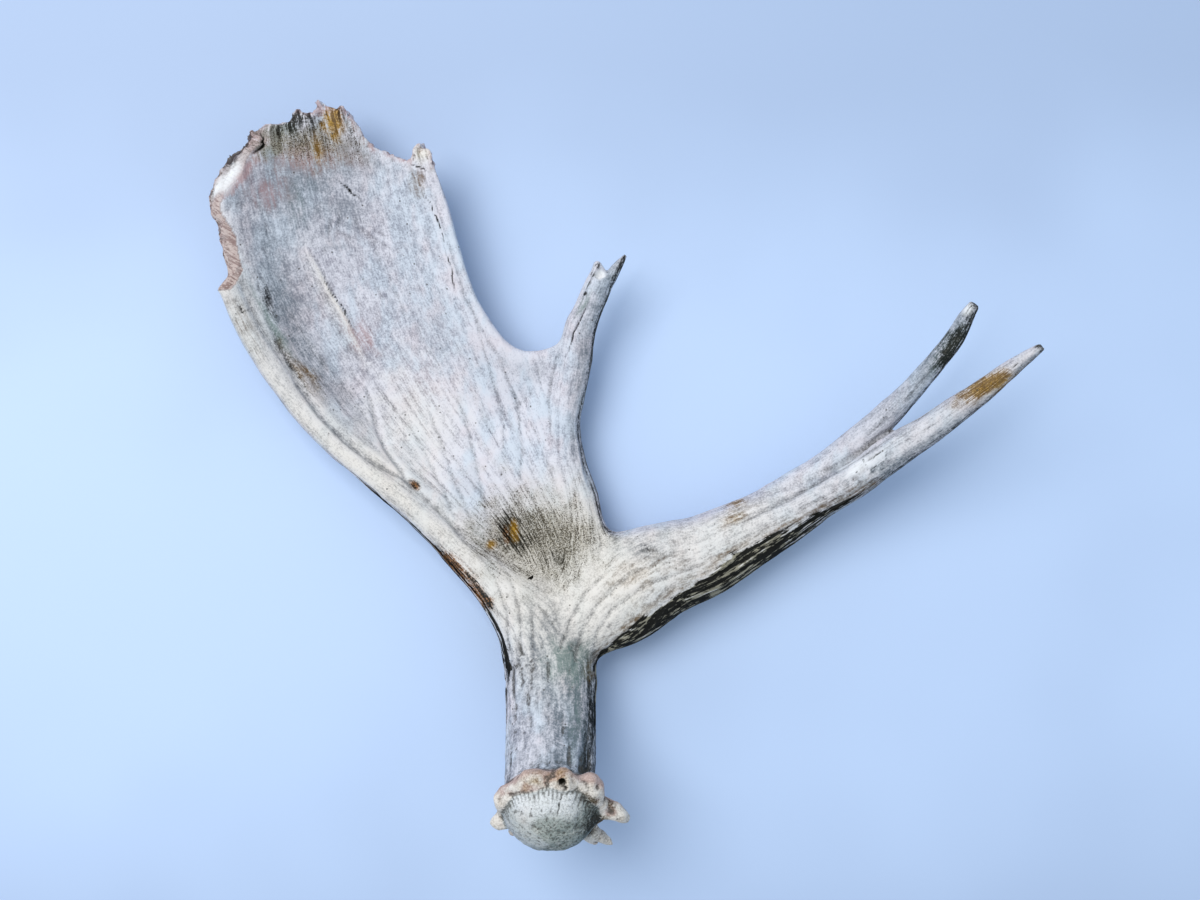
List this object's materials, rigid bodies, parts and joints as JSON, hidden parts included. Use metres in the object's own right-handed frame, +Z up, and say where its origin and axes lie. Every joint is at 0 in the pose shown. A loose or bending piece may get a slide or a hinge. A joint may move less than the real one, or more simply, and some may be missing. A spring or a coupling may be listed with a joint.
{
  "type": "moose antler",
  "caption": "Small shed moose antler lying hollow side up: knobbly burr, round beam, cupped palm with a broken top, short palm tine and a brow branch that forks in two.",
  "frame": {"origin": "middle of the antler's footprint, on the surface that it lies on", "axes": "+Z up; the palm's hollow faces +Z; +X towards the brow tines; the burr is towards -Y and the palm's broken top towards +Y"},
  "size_m": [0.4726, 0.4314, 0.1121],
  "materials": {
    "burr_and_beam": "dry grey-brown antler bone with lengthwise furrows",
    "palm": "dry weathered antler bone, pale lavender grey with fine dark speckle and stains",
    "palm_tine": "dry weathered antler bone, cracked and broken open at the tip",
    "brow_branch": "dry weathered antler bone with a dark furrowed underside",
    "brow_tine_front": "smooth pale antler bone with a yellow-brown stain",
    "brow_tine_rear": "smooth grey-green antler bone with a worn white tip"
  },
  "bodies": {
    "root": {"burr_and_beam": "burr_and_beam", "palm": "palm", "palm_tine": "palm_tine", "brow_branch": "brow_branch", "brow_tine_front": "brow_tine_front", "brow_tine_rear": "brow_tine_rear"}
  },
  "joints": []
}
